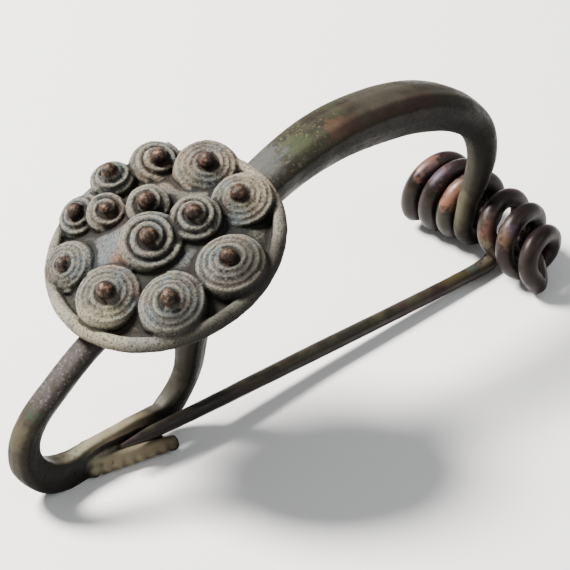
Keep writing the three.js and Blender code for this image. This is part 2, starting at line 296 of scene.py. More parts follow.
def into_core(end_y, inwards, stop):
    """The wire's turn back from the end of a coil into the middle of the spring."""
    steps = [(0.2, -1.6, -3.4), (1.1, -0.6, -3.0), (2.2, -0.2, -1.7), (3.6, -0.1, -0.5), (stop, 0, 0)]
    rows = []
    for along, x, z in steps:
        y = end_y + along * inwards
        centre_x, centre_z = coil_centre(y)
        rows.append([centre_x + x, y, centre_z + z, WIRE, WIRE])
    return rows


print("the core's last row:", np.round(into_core(12.0, -1, 11.5)[-1], 2))

# %% [markdown]
# ## Bow, foot and catch
# The bow's section has a broad, gently domed outer face between two shoulders and a narrower
# inner face. The foot is a squarer bar that turns back under the disc. Both are the same nine
# section points, blended along the bar, so the change from one to the other has no seam.

# %% Sections and rows
HALF = [[0.32, 0.44], [0.5, 0.24], [0.42, -0.08], [0.2, -0.47]]
HALF_SQUARE = [[0.42, 0.5], [0.5, 0.2], [0.5, -0.2], [0.42, -0.5]]
CRISP = 0.75            # how much of the hammered edges is left


def mirrored(half):
    return np.array([[0, 0.5], *half, *[[-s, u] for s, u in reversed(half)]])


SHOULDERED, SQUARED = mirrored(HALF), mirrored(HALF_SQUARE)
angles = np.arange(9) / 9 * 2 * np.pi
ROUND = 0.5 * np.stack([np.sin(angles), np.cos(angles)], axis=-1)

BOW_ROWS = [
    [16.6, 0, 3.8, 1.2, 2.2], [19.6, 0, 4.1, 2.7, 3.8], [22.3, 0, 6.1, 3.3, 4.0],
    [24.2, 0, 9.1, 3.6, 4.3], [25.0, 0, 13.4, 4.2, 4.6], [26.0, 0, 19.0, 5.2, 5.2],
    [29.0, 0, 25.5, 6.2, 6.2], [34.2, 0, 31.0, 6.8, 6.9], [41.5, 0, 34.4, 7.4, 7.3],
    [50.0, 0, 36.0, 8.0, 7.7], [59.0, 0, 35.4, 8.0, 7.8], [67.5, 0, 33.2, 7.4, 7.2],
    [74.6, 0, 29.3, 6.6, 6.0], [79.1, 0.1, 24.3, 5.4, 4.8], [80.4, 0.3, 19.0, 4.4, 4.3],
    [80.0, 0.9, 14.4, 3.6, 3.7], [79.4, 1.8, 10.6, 3.0, 3.1],
]
FOOT_ROWS = [
    [20.6, 0, 4.9, 1.4, 1.8], [17.5, 0, 3.7, 2.1, 3.9], [13.0, 0, 3.2, 2.0, 5.0],
    [6.5, 0, 2.95, 2.2, 5.2], [2.0, 0, 2.8, 3.0, 4.9], [-2.0, 0, 4.2, 3.9, 4.6],
    [-4.7, 0, 7.3, 4.2, 4.6], [-5.0, 0, 10.9, 4.1, 4.4], [-3.2, 0, 14.2, 4.0, 4.0],
    [0.8, 0, 17.5, 3.9, 3.8], [6.2, 0, 21.2, 3.9, 3.7], [12.5, 0, 24.0, 4.0, 3.6],
    [20.0, 0, 26.9, 4.0, 3.4], [31.0, 0, 30.6, 4.0, 3.4],
]


def sections(sizes, first, then, begin, end):
    """Outlines that pass from one section to the next between two shares of the length."""
    outlines = []
    for share, size in zip(np.linspace(0, 1, len(sizes)), sizes):
        blend = smoothstep(share, begin, end)
        outlines.append(rounded(first * (1 - blend) + then * blend, 5, CRISP) * size)
    return outlines


print("control rows of bow and foot:", len(BOW_ROWS), len(FOOT_ROWS))

# %% [markdown]
# The catch is hammered out of the foot's lower edge: a floor under the bar that curls up into
# a lip, with a row of small ribs filed across its outer side. Its section is drawn once as a
# function of x, and the ribs are a wave in it, which follows the lip as it opens.

# %% Catch
CATCH_START, CATCH_END, CATCH_WALL, CATCH_REACH = 3.5, 18.2, 1.2, 3.7
RIBS, RIB_FROM, RIB_HEIGHT = 8, 5.0, 0.65


def catch_ring(x):
    opened = np.clip((x - CATCH_START) / (CATCH_END - CATCH_START), 0, 1)
    wave = abs(math.sin(math.pi * RIBS * (x - RIB_FROM) / (CATCH_END - RIB_FROM)))
    rib = RIB_HEIGHT * wave if x > RIB_FROM else 0.0
    lip = -(CATCH_WALL + CATCH_REACH * opened**1.05)
    under = 0.6 + 0.2 * opened
    top = under + 3.1 - 0.9 * opened
    floor = top - 0.25 - 1.0 * smoothstep(opened, 0.4, 0.95)
    inner = lip + CATCH_WALL
    outline = [
        [0.1, 3.3], [0.1, under + 0.9], [-0.5, under + 0.5], [lip * 0.55, under - rib * 0.4],
        [lip * 0.9 - rib * 0.6, under + 0.3 - rib * 0.4], [lip - rib, under + 0.9],
        [lip - rib * 0.2, under + 1.7], [lip + 0.15, top - 0.3], [lip + 0.5 * CATCH_WALL, top],
        [inner, top - 0.15], [inner + 0.15, floor], [-0.35, floor + 0.1], [-0.25, 4.2],
    ]
    smooth = rounded(np.array(outline), 3)
    return np.column_stack([np.full(len(smooth), x), smooth])


print("the lip's farthest reach, mm:", catch_ring(CATCH_END)[:, 1].min().round(2))

# %% [markdown]
# The bow goes over into wire: its section turns round before the bar runs into the first bend
# of the far coils. The bar takes that bend with it, so no seam shows where the coils begin.

# %% The bars of bow, foot and catch
SEAM_TURN = 0.3         # the wound wire takes over underneath the first coil
bow_places, bow_sizes = follow(BOW_ROWS, 300)
bow_outlines = np.array(sections(bow_sizes, SQUARED, SHOULDERED, 0.0, 0.1))
round_outlines = np.array([rounded(ROUND, 5) * size for size in bow_sizes])
to_wire = smoothstep(np.linspace(0, 1, len(bow_sizes)), 0.78, 0.97)[:, None, None]
bow_outlines = bow_outlines * (1 - to_wire) + round_outlines * to_wire

first_bend = far_coils(np.linspace(0.02, SEAM_TURN, 24))
bend_outlines = [rounded(ROUND, 5) * 2 * WIRE] * len(first_bend)
bow_bar = lofted("bow_bar", sweep(np.vstack([bow_places, first_bend]), [*bow_outlines, *bend_outlines]))

foot_places, foot_sizes = follow(FOOT_ROWS, 200)
foot_bar = lofted("foot_bar", sweep(foot_places, sections(foot_sizes, SQUARED, SHOULDERED, 0.26, 0.42)))
catch_rings = [catch_ring(x) for x in np.linspace(CATCH_START, CATCH_END, 150)]
catch_bar = lofted("catch_bar", np.array(catch_rings))
print("rings of bow, foot and catch:", len(bow_places) + len(first_bend), len(foot_places), len(catch_rings))

# %% [markdown]
# ## Fusing a bar out of its parts
# Bow, foot and catch are one bar, so their meshes have to flow into each other. A boolean
# union would leave hard seams. The Remesh modifier rebuilds them as one even skin instead,
# which a little smoothing frees of its steps. The even skin also takes fine dents well.

# %% Fuse
def finished(piece, name):
    """The evaluated mesh of a piece as a plain object of its own."""
    bpy.context.view_layer.update()
    graph = bpy.context.evaluated_depsgraph_get()
    mesh = bpy.data.meshes.new_from_object(piece.evaluated_get(graph))
    bpy.data.objects.remove(piece)
    mesh.name = name
    return added(name, mesh)


def joined(pieces, name):
    places, faces = [], []
    for piece in pieces:
        base = len(places)
        places += [v.co[:] for v in piece.data.vertices]
        faces += [[base + i for i in face.vertices] for face in piece.data.polygons]
        bpy.data.objects.remove(piece)
    return meshed(name, places, faces=faces)


def smooth_shaded(piece):
    piece.data.polygons.foreach_set("use_smooth", [True] * len(piece.data.polygons))


def fused(pieces, name, voxel, smoothing=3):
    whole = joined(pieces, name + "_parts")
    remesh = whole.modifiers.new("skin", "REMESH")
    remesh.mode, remesh.voxel_size = "VOXEL", voxel * MM
    smooth = whole.modifiers.new("smooth", "CORRECTIVE_SMOOTH")
    smooth.factor, smooth.iterations, smooth.use_only_smooth = 0.5, smoothing, True
    result = finished(whole, name)
    smooth_shaded(result)
    print(name, "faces:", len(result.data.polygons))
    return result


BOW_VOXEL = 0.24
bow = fused([bow_bar, foot_bar, catch_bar], "bow_and_foot", BOW_VOXEL)

# %% [markdown]
# ## The seat and the worn flat
# The disc needs a seat in the foot and the bow's shoulder, and long use wore the underside
# flat. Both are cuts with a box, made after the fusing, so their edges stay clean.

# %% Cut with boxes
BOX_SIDES = [(0, 1, 3, 2), (4, 6, 7, 5), (0, 4, 5, 1), (2, 3, 7, 6), (0, 2, 6, 4), (1, 5, 7, 3)]


def cutter(name, low, high, turn=0.0, at=(0, 0, 0)):
    """A box to cut with, in maker's millimetres, turned about Y at its place."""
    corners = [(x, y, z) for x in (low[0], high[0]) for y in (low[1], high[1]) for z in (low[2], high[2])]
    spin = Matrix.Rotation(turn, 4, "Y")
    placed = [(np.array(spin @ Vector(corner)) + at + SHIFT) * MM for corner in corners]
    return meshed(name, placed, faces=BOX_SIDES)


def cut(piece, name, boxes):
    for box in boxes:
        minus = piece.modifiers.new(box.name, "BOOLEAN")
        minus.operation, minus.object, minus.solver = "DIFFERENCE", box, "EXACT"
    result = finished(piece, name)
    for box in boxes:
        bpy.data.objects.remove(box)
    return result


seat = cutter("seat", (-17.5, -17.5, -1.3), (17.5, 17.5, 11), turn=-DISC_TILT, at=DISC_MIDDLE)
surface = cutter("surface", (-60, -40, -4), (140, 40, WORN_FLAT))
bow = cut(bow, "bow_and_foot", [seat, surface])
print("bow and foot after the cuts, lowest mm:", round(min(v.co.z for v in bow.data.vertices) / MM, 3))

# %% [markdown]
# ## Building trees
# Every tree here has the same frame: named inputs on the left, Realize Instances and Set
# Material on the right. Three helpers open a tree, close it and run it on a piece. A
# modifier's inputs are set by the sockets' identifiers before anything is evaluated.

# %% Open, close and run a tree
def new_tree(name, inputs):
    tree = bpy.data.node_groups.new(name, "GeometryNodeTree")
    tree.interface.new_socket("Geometry", in_out="INPUT", socket_type="NodeSocketGeometry")
    for label, kind, default in inputs:
        tree.interface.new_socket(label, in_out="INPUT", socket_type=kind).default_value = default
    tree.interface.new_socket("Geometry", in_out="OUTPUT", socket_type="NodeSocketGeometry")
    entry = tree.nodes.new("NodeGroupInput")
    board = Board(tree)
    return board, {s.name: Value(board, s) for s in entry.outputs if s.name}


def close_tree(board, geometry, material):
    real = board.add("GeometryNodeRealizeInstances", {}, {"Geometry": geometry})
    painted = board.add("GeometryNodeSetMaterial", {}, {"Geometry": real, "Material": material})
    board.add("NodeGroupOutput", {}, {"Geometry": painted})
    print("tree", board.tree.name, "has", len(board.tree.nodes), "nodes")
    return board.tree


def run_tree(piece, tree, name, **values):
    nodes = piece.modifiers.new(tree.name, "NODES")
    nodes.node_group = tree
    for socket in tree.interface.items_tree:
        key = socket.name.replace(" ", "_").lower()
        if socket.in_out == "INPUT" and key in values:
            nodes[socket.identifier] = values[key]
    return finished(piece, name)


raw = bpy.data.materials.new("raw_bronze")
print("the material that every tree sets:", raw.name)

# %% [markdown]
# ## Wire
# Spring and pin are drawn wire. The tree turns a row of points into a curve, gives it the
# radius stored on each point and sweeps a circle along it, so one tree makes both lengths.

# %% Wire tree
board, given = new_tree("wire", [("Sides", "NodeSocketInt", 40)])
curve = board.add("GeometryNodeMeshToCurve", {}, {"Mesh": given["Geometry"]})
thickness = board.add("GeometryNodeInputNamedAttribute", {"data_type": "FLOAT"}, {"Name": "thickness"})
curve = board.add("GeometryNodeSetCurveRadius", {}, {"Curve": curve, "Radius": thickness})
wire = board.tube(curve, 1.0, given["Sides"], Scale=thickness)
wire_tree = close_tree(board, board.add("GeometryNodeSetShadeSmooth", {}, {"Geometry": wire}), raw)

# %% [markdown]
# ## Far coils
# The far coils start inside the bow's first bend, where the wire swells from nothing, so no
# cap shows. After three turns the wire goes into the core and runs towards the near side.

# %% The far coils
def store(mesh, name, values):
    """One number for each point, for a tree or a material to read."""
    attribute = mesh.attributes.new(name, "FLOAT", "POINT")
    attribute.data.foreach_set("value", np.asarray(values, np.float32))


def drawn(name, places, radii, sides=40):
    edges = [(i, i + 1) for i in range(len(places) - 1)]
    path = meshed(name, (places + SHIFT) * MM, edges=edges)
    store(path.data, "thickness", np.asarray(radii) * MM)
    wire = run_tree(path, wire_tree, name, sides=sides)
    print(name, "faces:", len(wire.data.polygons))
    return wire


far_turns = np.linspace(SEAM_TURN - 0.06, FAR_TURNS, 260)
far_path = far_coils(far_turns)
far_core, _ = follow([[*far_path[-1], WIRE, WIRE], *into_core(far_path[-1, 1], -1, 11.5)], 70)
far_radii = WIRE * smoothstep(far_turns, SEAM_TURN - 0.09, SEAM_TURN - 0.01)
far_wire = drawn("far_coils", np.vstack([far_path, far_core[1:]]), [*far_radii, *[WIRE] * 70])

# %% [markdown]
# ## Near coils and pin
# The same wire comes out of the core, winds the near coils and leaves the last one as the
# pin. Coils and pin are one piece of mesh, as they are one wire. The pin keeps its thickness
# nearly to the end, then tapers fast.

# %% The near coils and the pin
near_turns = np.linspace(NEAR_START, NEAR_END, 260)
near_path = near_coils(near_turns)
core_rows = [[*near_path[0], WIRE, WIRE], *into_core(near_path[0, 1], 1, 9.0)]
near_core = follow(core_rows, 60)[0][:0:-1]
ROOT_PLACES = [near_path[-1], *near_coils(np.array([-2.69, -2.75]))]
ROOT_RADII = [WIRE, 1.35, PIN_ROOT]
SHAFT_ROWS = [
    [81.6, -1.75, 2.1, PIN_ROOT], [79.9, -2.4, 1.74, PIN_ROOT], [77.6, -2.7, 1.74, 1.1],
    [74.0, -2.8, 1.85, 1.05], [65.0, -2.9, 2.2, 1.08], [44.0, -3.0, 3.2, PIN_SHAFT],
    [22.0, -3.1, 4.2, 1.05], [15.0, -3.0, 4.5, 0.95], [9.4, -2.85, 4.8, PIN_TIP],
]
root_rows = [[*place, radius, radius] for place, radius in zip(ROOT_PLACES, ROOT_RADII)]
shaft_rows = [[*row, row[3]] for row in SHAFT_ROWS]
pin_path, pin_sizes = follow(root_rows + shaft_rows, 260)
near_radii = [*[WIRE] * (len(near_core) + len(near_path)), *pin_sizes[1:, 0]]
near_wire = drawn("near_coils_and_pin", np.vstack([near_core, near_path, pin_path[1:]]), near_radii)

# %% [markdown]
# ## The disc's coiled cones
# The disc was cast from a wax model: a low hollow dome with a rolled rim, onto which the maker
# pressed cones of coiled wax cord, each with a pellet on top. One cone is a small tree: a
# spiral curve with a round cord along it, a slope that closes the gaps between the turns, and
# a skirt that sinks into the dome. Its copies are instances on a row of points.

# %% One cone
SUNK, SKIRT, SLOPE_DROP, INSET = 1.7 * MM, 1.6 * MM, 0.1 * MM, 0.15 * MM
cone_inputs = [("Turns", "NodeSocketFloat", 4.0), ("Base", "NodeSocketFloat", 4.0 * MM),
               ("Height", "NodeSocketFloat", 1.3 * MM), ("Cord", "NodeSocketFloat", 0.4 * MM),
               ("Pellet", "NodeSocketFloat", 1.3 * MM), ("Seed", "NodeSocketInt", 7)]
board, given = new_tree("coiled_cones", cone_inputs)
spiral = board.add("GeometryNodeCurveSpiral", {}, {
    "Resolution": 30, "Rotations": given["Turns"], "Start Radius": given["Base"] - given["Cord"],
    "End Radius": given["Pellet"] * 0.9, "Height": given["Height"]})
coil = board.tube(spiral, given["Cord"], 8)


def moved_to(shape, place, scale=(1, 1, 1)):
    return board.add("GeometryNodeTransform", {}, {"Geometry": shape, "Translation": place, "Scale": scale})


def plain_cone(top, bottom, depth):
    sockets = {"Vertices": 48, "Radius Top": top, "Radius Bottom": bottom, "Depth": depth}
    return board.add("GeometryNodeMeshCone", {}, sockets, out="Mesh")


slope = plain_cone(given["Pellet"] * 0.8, given["Base"] - INSET, given["Height"])
skirt = plain_cone(given["Base"] - INSET, given["Base"] + 0.1 * MM, SKIRT)
cone = board.join(coil, moved_to(slope, (0, 0, -SLOPE_DROP)), moved_to(skirt, (0, 0, -SUNK)))
print("cone tree so far:", len(board.tree.nodes), "nodes")

# %% [markdown]
# A pellet is a slightly flattened ball that sits on the cone's top. Cones and pellets are
# instanced apart, because a wide cone doesn't have a wide pellet. Size, pellet and lean are
# stored on the points, and a seeded random factor makes each a little larger or smaller.

# %% Cones on points
ball_sockets = {"Segments": 24, "Rings": 16, "Radius": given["Pellet"]}
ball = board.add("GeometryNodeMeshUVSphere", {}, ball_sockets, out="Mesh")
on_top = board.add("ShaderNodeCombineXYZ", {}, {"Z": given["Height"] + 0.6 * MM})
pellet = moved_to(ball, on_top, (1.0, 0.92, 0.85))


def stored(name, kind="FLOAT"):
    return board.add("GeometryNodeInputNamedAttribute", {"data_type": kind}, {"Name": name})


def on_points(shape, scale):
    return board.add("GeometryNodeInstanceOnPoints", {}, {
        "Points": given["Geometry"], "Instance": shape, "Rotation": stored("lean", "FLOAT_VECTOR"),
        "Scale": scale})


random_sockets = {2: 0.94, 3: 1.04, "Seed": given["Seed"]}
wobble = board.add("FunctionNodeRandomValue", {"data_type": "FLOAT"}, random_sockets, out=1)
wide = stored("size") * wobble
spread = board.add("ShaderNodeCombineXYZ", {}, {"X": wide, "Y": wide, "Z": 1.0})
cones_and_pellets = board.join(on_points(cone, spread), on_points(pellet, stored("pellet") * wobble))
cone_tree = close_tree(board, cones_and_pellets, raw)

# %% [markdown]
# ## Where the cones sit
# The maker set thirteen cones by eye: six fine ones along the edge, five of thicker cord and
# two that are nearly worn away. Each has its own size and leans its own way, so they stay a
# list, on the disc's own plane.

# %% Rows of cones
FINE = [  # x, y, z on the disc's plane, radius, lean to x and y, size of the pellet
    [12.6, 3.8, 2.2, 4.6, 0.10, -0.30, 0.95], [11.2, -4.9, 2.6, 4.5, -0.05, -0.20, 0.95],
    [2.6, -11.7, 2.7, 5.3, 0.02, -0.13, 1.0], [-6.8, -9.8, 2.7, 5.1, -0.12, -0.22, 1.0],
    [-11.1, -1.4, 2.9, 4.6, -0.10, -0.22, 1.0], [-10.6, 8.2, 1.9, 4.1, -0.42, -0.02, 0.75],
]
COARSE = [
    [3.3, 13.4, 3.0, 3.3, 0.07, -0.03, 0.95], [9.3, 10.7, 2.0, 3.9, 0.20, -0.36, 0.95],
    [-3.5, 13.3, 1.9, 3.4, -0.26, 0.02, 0.9], [4.6, -3.2, 4.5, 3.8, -0.06, -0.26, 0.95],
    [-1.9, -1.1, 4.9, 4.6, -0.08, -0.31, 1.0],
]
WORN = [[2.4, 4.2, 4.5, 3.2, -0.13, -0.32, 1.05], [-1.4, 9.1, 3.5, 3.2, -0.07, -0.31, 0.75]]
BASE = 4.0              # the tree's own cone, which a row's radius is a multiple of


def coiled_cones(name, rows, turns, cord, height, seed):
    rows = np.array(rows)
    axes = [Vector((x, y, math.sqrt(1 - x * x - y * y))) for x, y in rows[:, 4:6]]
    spins = np.random.default_rng(seed).uniform(0, 2 * np.pi, len(rows))
    leans = [(axis.to_track_quat("Z", "Y").to_matrix() @ Matrix.Rotation(spin, 3, "Z")).to_euler()
             for axis, spin in zip(axes, spins)]
    places = meshed(name, [Vector(row[:3]) * MM for row in rows])
    store(places.data, "size", rows[:, 3] / BASE)
    store(places.data, "pellet", rows[:, 6])
    leaning = places.data.attributes.new("lean", "FLOAT_VECTOR", "POINT")
    leaning.data.foreach_set("vector", np.array(leans, np.float32).ravel())
    return run_tree(places, cone_tree, name, turns=turns, cord=cord * MM, height=height * MM, seed=seed)


coiled = [coiled_cones("fine_cones", FINE, 3.6, 0.29, 1.25, 7),
          coiled_cones("coarse_cones", COARSE, 2.1, 0.48, 1.25, 8),
          coiled_cones("worn_cones", WORN, 1.5, 0.42, 1.1, 9)]
print("cones on the disc:", len(FINE) + len(COARSE) + len(WORN))

# %% [markdown]
# ## Dome, rim and cones in one casting
# The dome with its rolled rim is a profile turned about the disc's axis. Molten bronze filled
# one mould, so dome and cones are fused into a single skin, with a fine voxel and one round
# of smoothing only: the turns of the cord have to stay. This is done on the level, where the
# numbers are easy to read, and the casting is tilted into place afterwards.

# %% Dome, rim and cones
PLATE = [
    [0, 0.9], [8.5, 0.3], [13.2, -0.7], [15.2, -1.0], [16.6, -1.0], [17.1, -0.4], [17.1, 0.3],
    [16.7, 0.95], [15.9, 1.2], [15.4, 0.8], [15.0, 0.2], [12.2, 1.3], [6.5, 3.0], [0, 3.7],
]
DISC_VOXEL = 0.212
profile = spline(np.array(PLATE), np.linspace(0, len(PLATE) - 1, 90))
profile[0, 0] = profile[-1, 0] = 0.001
turned = np.radians(np.arange(0, 360, 2))[:, None]
plate_rings = np.stack([profile[:, 0] * np.cos(turned), profile[:, 0] * np.sin(turned),
                        profile[:, 1] + 0 * turned], axis=-1)
count, around = plate_rings.shape[:2]
quads = [[i * around + j, (i + 1) % count * around + j, (i + 1) % count * around + j + 1, i * around + j + 1]
         for i in range(count) for j in range(around - 1)]
plate = meshed("plate", plate_rings.reshape(-1, 3) * MM, faces=quads)
disc = fused([plate, *coiled], "cast_disc", DISC_VOXEL, smoothing=1)
to_frame = Matrix.Translation(Vector(DISC_MIDDLE + SHIFT)) @ Matrix.Rotation(-DISC_TILT, 4, "Y")
disc.data.transform(Matrix.Scale(MM, 4) @ to_frame @ Matrix.Scale(1 / MM, 4))
print("the disc's middle in the frame, mm:", [round(v, 2) for v in to_frame.translation])

# %% [markdown]
# ## Age
# Two thousand years in the ground leave dents, pits and rounded edges. A material's bump can't
# change an outline, so a tree moves every point along its normal, by two noises of named depth
# and size: broad dents and fine grain.

# %% Weathering tree
weather_inputs = [("Dent", "NodeSocketFloat", 0.05), ("Dent Size", "NodeSocketFloat", 4.0),
                  ("Grain", "NodeSocketFloat", 0.02), ("Grain Size", "NodeSocketFloat", 0.7)]
board, given = new_tree("weathering", weather_inputs)
place = board.add("GeometryNodeInputPosition")


def weather_noise(depth, grain):
    sockets = {"Vector": place, "Scale": 1.0 / (grain * MM), "Detail": 3.0}
    return depth * MM * (board.add("ShaderNodeTexNoise", {}, sockets) - 0.5) * 2.0


push = weather_noise(given["Dent"], given["Dent Size"]) + weather_noise(given["Grain"], given["Grain Size"])
normal = board.add("GeometryNodeInputNormal")
offset = board.add("ShaderNodeVectorMath", {"operation": "SCALE"}, {0: normal, "Scale": push})
shifted = board.add("GeometryNodeSetPosition", {}, {"Geometry": given["Geometry"], "Offset": offset})
weather_tree = close_tree(board, shifted, raw)

# %% [markdown]
# Afterwards the brooch still has to stand flat, so nothing may reach below the surface. The
# wires get shallow dents, since they were drawn smooth, and the casting gets the deepest.

# %% Weather the pieces
def vertex_rows(piece, field):
    rows = np.empty(len(piece.data.vertices) * 3)
    piece.data.vertices.foreach_get(field, rows)
    return rows.reshape(-1, 3)


def stand(piece):
    """Rubs flat whatever the weathering pushed below the surface that the brooch stands on."""
    places = vertex_rows(piece, "co")
    places[:, 2] = np.maximum(places[:, 2], 0.0)
    piece.data.vertices.foreach_set("co", places.ravel())
    piece.data.update()


wire_age = dict(dent=0.04, dent_size=3.0, grain=0.012, grain_size=0.8)
bow = run_tree(bow, weather_tree, "bow_and_foot", dent=0.05, dent_size=5.0, grain=0.02, grain_size=0.8)
far_wire = run_tree(far_wire, weather_tree, "far_coils", **wire_age)
near_wire = run_tree(near_wire, weather_tree, "near_coils_and_pin", **wire_age)
disc = run_tree(disc, weather_tree, "cast_disc", dent=0.12, dent_size=2.2, grain=0.04, grain_size=0.5)
for piece in (bow, far_wire, near_wire):
    stand(piece)
    print(piece.name, "stands at", round(vertex_rows(piece, "co")[:, 2].min() / MM, 3), "mm")

# %% [markdown]
# ## What the patina and the painted shade follow
# Three numbers on each point steer the colours. One marks what faces down and away from the
# lamp, where shade is painted into the colour, and `pellet` marks the knobs, which were rubbed
# to copper. A number stored on the mesh moves with the piece when it swings.

# %% Painted shade on the sides turned from the lamp, and rubbed pellets
# The lamp's side. Points that face away from it are darkened below as painted shade.
LAMP_SIDE = np.array([-0.44, 0.41, 0.80])


def mark_painted_shade(piece):
    """Stores how far each point faces down and away from the lamp, for the painted shade."""
    facing = vertex_rows(piece, "normal") @ LAMP_SIDE
    store(piece.data, "painted_shade", 1 - smoothstep(facing, -0.35, 0.45))


def mark_near(piece, name, spots, radius):
    """Stores 1 on the points within `radius` of the spots, falling to 0 at one and a half times that."""
    places = vertex_rows(piece, "co")
    gaps = [np.linalg.norm(places - np.asarray(spot), axis=1) for spot in spots]
    store(piece.data, name, 1 - smoothstep(np.min(gaps, axis=0) / (radius * MM), 1.0, 1.5))


PELLET_RISE = 2.2       # from a cone's row to the middle of its pellet
for piece in (bow, far_wire, near_wire, disc):
    mark_painted_shade(piece)
pellets = [to_frame @ (Vector(row[:3]) + Vector((row[4], row[5], 0.93)) * PELLET_RISE) * MM
           for row in FINE + COARSE + WORN]
mark_near(disc, "pellet", pellets, 1.15)
print("pellets rubbed to copper:", len(pellets))

# %% [markdown]
# High places are made lighter and low ones darker: on the bow as rubbed edges and darker
# hollows, on the disc as rubbed crests with a painted highlight and painted shade in the
# grooves. `relief` stores how far a point stands out of its smoothed surroundings. The shader's
# pointiness is similar, but it sees only a point's nearest neighbours, while this can be given
# a wide reach.

# %% Relief
def add_relief(piece, rounds, scale):
    """Stores how far each point stands out of its smoothed surroundings, 0.5 being level."""
    places, normals = vertex_rows(piece, "co"), vertex_rows(piece, "normal")
    edges = np.empty(len(piece.data.edges) * 2, int)
    piece.data.edges.foreach_get("vertices", edges)
    a, b = edges.reshape(-1, 2).T
    count = np.bincount(np.r_[a, b], minlength=len(places))[:, None]
    smooth = places.copy()
    for _ in range(rounds):
        total = np.zeros_like(smooth)
        np.add.at(total, a, smooth[b])
        np.add.at(total, b, smooth[a])
        smooth = total / np.maximum(count, 1)
    height = ((places - smooth) * normals).sum(axis=1) / (scale * MM)
    store(piece.data, "relief", np.clip(0.5 + 0.5 * height, 0, 1))
    print(piece.name, "relief from", height.min().round(2), "to", height.max().round(2))


for piece, rounds, scale in ((disc, 30, 0.22), (bow, 40, 0.12), (far_wire, 10, 0.05), (near_wire, 10, 0.05)):
    add_relief(piece, rounds, scale)

# %% [markdown]
# ## Patina
# Old bronze shows no bare metal. A thin skin of brown and green oxides lies over it: smooth
# and half glossy where the ground was kind, grainy and beige where the casting was rough, and
# coppery where high points have been rubbed. A finish is a stack of mixes, and `Finish` holds
# its tools: soft noise, pits and ragged stains at named places. All of them read Object
# coordinates, so the pattern stays put when a piece swings.

# %% A finish and its tools
def srgb(code):
    channels = [int(code[i:i + 2], 16) / 255 for i in (1, 3, 5)]
    return (*[c / 12.92 if c < 0.04045 else ((c + 0.055) / 1.055) ** 2.4 for c in channels], 1.0)


class Finish(Board):
    """A material on Object coordinates, with its distances in millimetres."""

    def __init__(self, name):
        self.material = bpy.data.materials.new(name)
        self.material.use_nodes = True
        super().__init__(self.material.node_tree)
        self.tree.nodes.clear()
        where = self.add("ShaderNodeTexCoord", out="Object")
        self.where = self.add("ShaderNodeVectorMath", {"operation": "SCALE"}, {0: where, "Scale": 1 / MM})
        self.relief, self.painted_shade = self.attribute("relief"), self.attribute("painted_shade")

    def attribute(self, name):
        return self.add("ShaderNodeAttribute", {"attribute_name": name}, out="Fac")

    def noise(self, grain, detail=4.0, shift=0.0):
        moved = {"Vector": self.where, "Location": (shift, shift * 0.7, -shift)}
        place = self.add("ShaderNodeMapping", {}, moved)
        sockets = {"Vector": place, "Scale": 1.0 / grain, "Detail": detail, "Roughness": 0.55}
        return self.add("ShaderNodeTexNoise", {}, sockets)

    def pits(self, grain):
        sockets = {"Vector": self.where, "Scale": 1.0 / grain}
        return self.add("ShaderNodeTexVoronoi", {"feature": "F1"}, sockets)

    def patch(self, centre, reach, ragged=0.6):
        """1 near a place given in maker's millimetres, falling to 0 at the reach, with a ragged edge."""
        spot = tuple(float(v) for v in np.asarray(centre) + SHIFT)
        ends = {0: self.where, 1: spot}
        gap = self.add("ShaderNodeVectorMath", {"operation": "DISTANCE"}, ends, out="Value")
        edge = gap / reach + (self.noise(reach * 0.35, shift=sum(spot)) - 0.5) * ragged * 2
        return edge.ramp(1.0, 0.35)

    def between(self, first, second, mask):
        return self.mix(srgb(first), srgb(second), mask)

    def tint(self, code, mask):
        self.colour = self.mix(self.colour, srgb(code), mask)

    def stains(self, rows):
        """Rows of a tint, its place and reach, how ragged its edge is and how strong it is."""
        for code, place, reach, ragged, strength in rows:
            self.tint(code, self.patch(place, reach, ragged) * strength)

    def close(self, rough, metal, bump, strength, gloss=0.3, shade=1.0):
        shader = self.tree.nodes.new("ShaderNodeBsdfPrincipled")
        colour = self.add("ShaderNodeVectorMath", {"operation": "SCALE"}, {0: self.colour, "Scale": shade})
        normal = self.add("ShaderNodeBump", {}, {"Height": bump, "Strength": strength, "Distance": MM * 0.1})
        links = {"Base Color": colour, "Roughness": rough, "Metallic": metal, "Normal": normal}
        for name, given in links.items():
            self.tree.links.new(given.socket, shader.inputs[name])
        shader.inputs["Specular IOR Level"].default_value = gloss
        output = self.tree.nodes.new("ShaderNodeOutputMaterial")
        self.tree.links.new(shader.outputs[0], output.inputs["Surface"])
        print(self.material.name, "has", len(self.tree.nodes), "nodes")
        return self.material


print("dark patina in linear light:", [round(c, 3) for c in srgb("#27241f")[:3]])

# %% [markdown]
# ## Bow and foot
# The bow is nearly black-brown with olive clouds. Its shoulder near the disc carries blue-grey
# and speckled yellow-green patina, dark red lines follow the ridge, and the foot bar's top gets
# a silvery purple painted sheen. The stains sit where the real ones do, so they are listed by
# place, and noise only breaks up their edges.

# %% Bow and foot, the bow's stains
RED_LINES = [(52, -3.3, 38.6), (56.9, -3.7, 37.9), (61.5, -3.7, 37.2), (65.5, -3.5, 36.1)]
f = Finish("bow_bronze")
cloud = f.noise(6.0, shift=3).ramp(0.38, 0.62)
speck = f.noise(0.45, detail=2.0, shift=5).ramp(0.55, 0.68)
fine = f.noise(0.22, detail=3.0, shift=9)
f.colour = f.between("#27241f", "#30322a", cloud)
f.tint("#3a2a29", f.noise(7.0, shift=11).ramp(0.52, 0.66) * 0.6)
f.tint("#3c4030", f.patch((49, 0.5, 40), 15) * f.noise(3.0, shift=21).ramp(0.4, 0.6) * 0.9)
f.tint("#6f7550", speck * f.patch((43.2, -1, 38), 9, 0.9) * 0.9)
f.stains([
    ("#4c5a3c", (43.2, -1.6, 38.4), 3.2, 0.9, 0.7), ("#6d7478", (38.6, 0, 37.0), 4.5, 0.9, 0.6),
])
